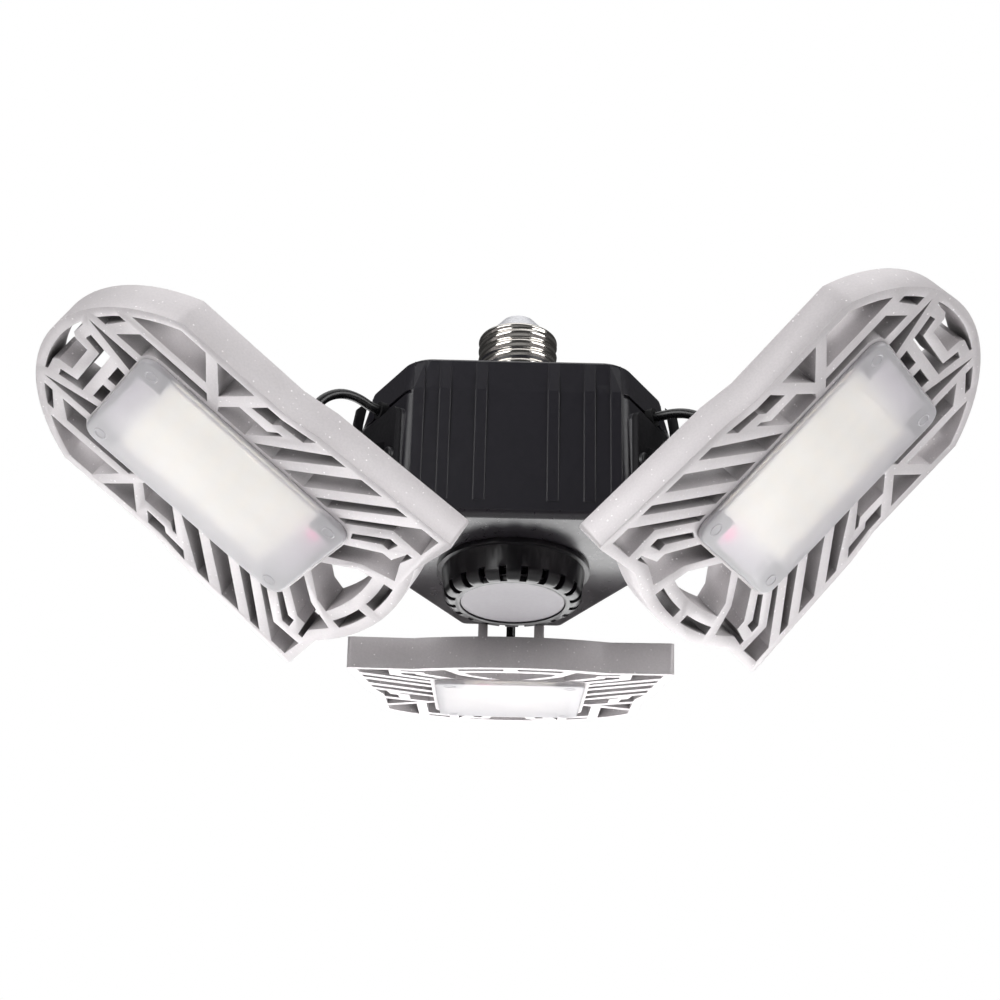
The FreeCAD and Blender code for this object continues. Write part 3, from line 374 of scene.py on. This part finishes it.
def sink_corner_ribs(mesh):
    """Sinks the outermost ribs in above the crease, by as much as the housing's corners round off."""
    for azimuth in WIDE_AZIMUTHS:
        back = Matrix.Rotation(math.radians(-azimuth), 4, "Z")
        out = back.inverted() @ Vector((1, 0, 0))
        for v in mesh.vertices:
            place = (back @ v.co) / MM
            aside = abs(place.y)
            rise = (place.z - CREASE_Z) / (SHOULDER_Z - CREASE_Z)
            face = CREASE_WIDE + (SHOULDER_WIDE - CREASE_WIDE) * rise
            on_rib = CORNER_RIB[0] < aside < CORNER_RIB[1] and place.x > face - FACE_SLACK
            if on_rib and rise > RIB_SINKS_FROM:
                beyond = aside - CORNER_FLAT
                v.co -= out * (CORNER_R - math.sqrt(CORNER_R ** 2 - beyond ** 2)) * MM


def close_wing(mesh, side):
    """Brings the inner face of a bracket's wing close to the housing."""
    hinge = Vector(HINGE[side]["pos_m"])
    out = Vector((hinge.x, hinge.y, 0)).normalized()
    for v in mesh.vertices:
        if v.co.z > WING_FOOT_Z * MM and v.co.dot(out) < WING_FACE_R * MM:
            v.co -= out * WING_SHIFT * MM


def softened(node, body, width, side=None, reshape=None):
    """Copy of a CAD node with its sharp edges rounded over; with side, it also gets the map of the plan."""
    mesh = NODES[node].data.copy()
    if reshape:
        reshape(mesh)
    bm = bmesh.new()
    bm.from_mesh(mesh)
    bmesh.ops.remove_doubles(bm, verts=bm.verts, dist=WELD)
    bmesh.ops.dissolve_limit(bm, angle_limit=math.radians(FLAT_ANGLE), verts=bm.verts, edges=bm.edges)
    bm.to_mesh(mesh)
    bm.free()
    smooth(mesh)
    if side:
        add_plan(mesh, side)
    obj = link("soft_" + node, mesh)
    bevel = obj.modifiers.new("bevel", "BEVEL")
    bevel.width = width * MM
    bevel.segments = SOFT_STEPS
    bevel.limit_method = "ANGLE"
    bevel.angle_limit = math.radians(SOFT_ANGLE)
    bevel.use_clamp_overlap = True
    bevel.harden_normals = True
    return stand_for(obj, node, body)


def reshaped(node, body, reshape):
    """Copy of a CAD node with some of its corners moved."""
    mesh = NODES[node].data.copy()
    reshape(mesh)
    return stand_for(link("shaped_" + node, mesh), node, body)


def wire_joint(side):
    """Red joint of the wires on the LED board, seen through the frosted cover; it glows with painted light,
    a pink halo.
    """
    mesh = bpy.data.meshes.new("wire_joint")
    bm = bmesh.new()
    bmesh.ops.create_uvsphere(bm, u_segments=16, v_segments=8, radius=JOINT_R * MM)
    bm.to_mesh(mesh)
    bm.free()
    smooth(mesh)
    across = -JOINT_Y if side == "right" else JOINT_Y
    place = panel_frame(side) @ Matrix.Translation(Vector((JOINT_X, across, JOINT_Z)) * MM)
    mesh.transform(place @ Matrix.Diagonal((1, 1, JOINT_FLAT, 1)))
    obj = link("wire_joint_" + side, mesh)
    obj.data.materials.append(PAINTED_GLOW_JOINT)
    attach(obj, "panel_" + side)


def post_marks(side):
    """Rings that the cover's posts leave in its frosted face."""
    mesh = bpy.data.meshes.new("post_marks")
    bm = bmesh.new()
    steps, turns = 32, 10
    for x, y in POST_PLACES:
        rings = []
        for i in range(steps):
            a = 2 * math.pi * i / steps
            ring = []
            for j in range(turns):
                b = 2 * math.pi * j / turns
                r = MARK_R + MARK_T * math.cos(b)
                place = Vector((x + r * math.cos(a), y + r * math.sin(a), MARK_Z + MARK_T * math.sin(b)))
                ring.append(bm.verts.new(place * MM))
            rings.append(ring)
        for i in range(steps):
            here, ahead = rings[i], rings[(i + 1) % steps]
            for j in range(turns):
                k = (j + 1) % turns
                bm.faces.new((here[j], ahead[j], ahead[k], here[k]))
    bm.to_mesh(mesh)
    bm.free()
    smooth(mesh)
    mesh.transform(panel_frame(side))
    obj = link("post_marks_" + side, mesh)
    paint(obj, MATERIALS["frosted_cover"])
    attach(obj, "panel_" + side)


for side in SIDES:
    softened("heat_sink_" + side, "panel_" + side, PANEL_EDGE)
    post_marks(side)
    softened("lens_cover_" + side, "panel_" + side, COVER_EDGE)
    softened("led_board_" + side, "panel_" + side, BOARD_EDGE, side)
    wire_joint(side)
for side in ("left", "right"):
    softened("bracket_" + side, "housing", BRACKET_EDGE, reshape=lambda mesh: close_wing(mesh, side))
reshaped("upper_housing", "housing", sink_corner_ribs)
softened("lower_cover", "housing", COVER_EDGE)
softened("lamp_ring", "housing", RING_EDGE)


def threaded_shell():
    """Rolled screw shell: a rounded helical thread that fades into the rolled rim."""
    around, rows, steps = 120, 150, 8
    thread_end = SHELL_H - SHELL_LIP
    rings = []  # height, how much of the thread is left, and radius of the crest
    for i in range(rows + 1):
        z = thread_end * i / rows
        fade = min(1.0, max(0.0, (thread_end - z) / SHELL_LIP))
        rings.append((z, fade, SHELL_R))
    for i in range(1, steps + 1):
        q = math.pi / 2 * i / steps
        crest = SHELL_R - SHELL_LIP + SHELL_LIP * math.cos(q)
        rings.append((thread_end + SHELL_LIP * math.sin(q), 0.0, crest))
    verts = []
    for z, fade, crest in rings:
        for j in range(around):
            a = 2 * math.pi * j / around
            wave = (0.5 + 0.5 * math.cos(2 * math.pi * z / THREAD_PITCH - a)) ** THREAD_POWER
            r = crest - THREAD_DEPTH * (1 - wave) * fade
            verts.append((r * math.cos(a) * MM, r * math.sin(a) * MM, z * MM))
    faces = []
    for i in range(len(rings) - 1):
        for j in range(around):
            k = (j + 1) % around
            faces.append((i * around + j, i * around + k, (i + 1) * around + k, (i + 1) * around + j))
    mesh = bpy.data.meshes.new("thread")
    mesh.from_pydata(verts, [], faces)
    smooth(mesh)
    obj = link("threaded_shell", mesh)
    wall = obj.modifiers.new("wall", "SOLIDIFY")
    wall.thickness = SHELL_WALL * MM
    wall.offset = -1
    return stand_for(obj, "screw_shell", "housing")


threaded_shell()


# ---- leads ------------------------------------------------------------------
def lead_points(side):
    """Route of a lead from the housing's gland to the panel's, in the room."""
    hinge = Vector(HINGE[side]["pos_m"])
    turn = Matrix.Rotation(math.atan2(hinge.y, hinge.x), 4, "Z")
    ahead = [(GLAND_TIP_R - LEAD_IN, GLAND_Z), (GLAND_TIP_R + LEAD_OUT, GLAND_Z), *LEAD_POINTS[side]]
    points = [turn @ Vector((r * MM, 0, z * MM)) for r, z in ahead]
    for z in (PANEL_END_Z + LEAD_END, PANEL_END_Z):
        points.append(panel_frame(side) @ Vector((PANEL_END_X * MM, 0, z * MM)))
    return points


def route_curve(name, points):
    """Smooth curve from the first point to the last, drawn towards those between."""
    data = bpy.data.curves.new(name, "CURVE")
    data.dimensions = "3D"
    data.resolution_u = ROUTE_STEPS
    spline = data.splines.new("NURBS")
    spline.points.add(len(points) - 1)
    for point, place in zip(spline.points, points):
        point.co = (*place, 1.0)
    spline.order_u = 3
    spline.use_endpoint_u = True
    return data


def lead(side):
    """Lead that bends between the housing and a panel, with its route given as a cord's path."""
    points = lead_points(side)
    data = route_curve("route_" + side, points)
    obj = link("route_" + side, data)
    bpy.context.view_layer.update()
    centre = bpy.data.meshes.new_from_object(obj)
    data.bevel_depth = LEAD_R * MM
    data.bevel_resolution = TUBE_STEPS
    data.use_fill_caps = True
    bpy.context.view_layer.update()
    graph = bpy.context.evaluated_depsgraph_get()
    mesh = bpy.data.meshes.new_from_object(obj.evaluated_get(graph))
    bpy.data.objects.remove(obj)
    smooth(mesh)
    node = "lead_" + side
    tube = link("sheath_" + side, mesh)
    paint(tube, MATERIALS[SLOT[node]])
    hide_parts(node)
    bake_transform(tube)


for side in SIDES:
    lead(side)


# ---- light, backdrop and camera ---------------------------------------------
FLOOR_Z, FLOOR_HALF = -0.62, 3.0
FLOOR_LEVEL = 0.60                      # brightness that the camera sees on the floor beside its light
LOOK_AT = (0.0, 0.0, -0.04)
# area lights: name, place, width and height, power
LIGHTS = (
    ("under", (0.0, 0.55, -0.58), (1.8, 1.1), 25.0),
    ("left", (-0.65, -0.75, 0.20), (0.7, 0.7), 7.0),
    ("right", (0.85, -0.50, 0.20), (0.7, 0.7), 6.0),
    ("top", (0.0, 0.0, 0.9), (1.0, 1.0), 4.0),
)
# brightness of the room by the height of the direction, from straight down (0) to straight up (1)
ROOM = ((0.0, 0.30), (0.25, 0.12), (0.45, 0.04), (0.55, 0.04), (1.0, 0.12))


def backdrop():
    """Pale floor that the camera sees a little brighter than its light makes it."""
    corners = [(x * FLOOR_HALF, y * FLOOR_HALF, FLOOR_Z) for x, y in ((-1, -1), (1, -1), (1, 1), (-1, 1))]
    mesh = bpy.data.meshes.new("floor")
    mesh.from_pydata(corners, [], [(0, 1, 2, 3)])
    obj = link("floor", mesh)
    n = new_material("floor")
    seen = n.math("MULTIPLY", n.add("LightPath").outputs["Is Camera Ray"], FLOOR_LEVEL)
    obj.data.materials.append(n.principled(Base_Color=(0.82, 0.82, 0.82, 1), Roughness=0.8,
                                           Emission_Color=(1, 1, 1, 1), Emission_Strength=seen))


def world():
    """White to the camera, and a room that is bright below and dim at the level of the eye."""
    studio = bpy.data.worlds.new("studio")
    bpy.context.scene.world = studio
    n = Nodes(studio, "OutputWorld")
    up = n.add("SeparateXYZ", Vector=n.add("TexCoord").outputs["Generated"]).outputs[2]
    height = n.add("MapRange", Value=up, From_Min=-1.0).outputs[0]
    room = n.ramp(height, [(at, grey(level)) for at, level in ROOM])
    path = n.add("LightPath").outputs
    seen = n.math("MAXIMUM", path["Is Camera Ray"], path["Is Transmission Ray"])
    n.finish(n.add("Background", Color=n.mix(seen, room, grey(1.0))))


def area(name, at, size, power):
    data = bpy.data.lights.new(name, "AREA")
    data.shape = "RECTANGLE"
    data.size, data.size_y = size
    data.energy = power
    obj = link(name, data)
    obj.location = at
    obj.rotation_mode = "QUATERNION"
    obj.rotation_quaternion = (Vector(LOOK_AT) - Vector(at)).to_track_quat("-Z", "Y")


def camera():
    """Camera as fitted to the photograph: degrees, millimetres and pixels."""
    elevation, yaw, roll = (math.radians(v) for v in (25.59, 0.574, 1.064))
    distance, focal = 634.35, 1981.73
    centre_x, centre_y = 523.29, 500.95
    image = 1000.0
    target = Vector((2.762, 0, -41.64))
    ahead = Vector((math.sin(yaw) * math.cos(elevation), math.cos(yaw) * math.cos(elevation),
                    math.sin(elevation)))
    right = Vector((math.cos(yaw), -math.sin(yaw), 0))
    up = right.cross(ahead)
    x = right * math.cos(roll) + up * math.sin(roll)
    y = up * math.cos(roll) - right * math.sin(roll)
    data = bpy.data.cameras.new("camera")
    data.sensor_width = 36.0
    data.lens = focal / image * data.sensor_width
    data.shift_x = (image / 2 - centre_x) / image
    data.shift_y = (centre_y - image / 2) / image
    data.clip_start, data.clip_end = 0.01, 20.0
    obj = link("camera", data)
    place = (target - ahead * distance) * MM
    obj.matrix_world = Matrix.Translation(place) @ Matrix((x, y, -ahead)).transposed().to_4x4()
    bpy.context.scene.camera = obj


backdrop()
world()
for light in LIGHTS:
    area(*light)
camera()
bpy.context.scene.view_settings.view_transform = "Standard"
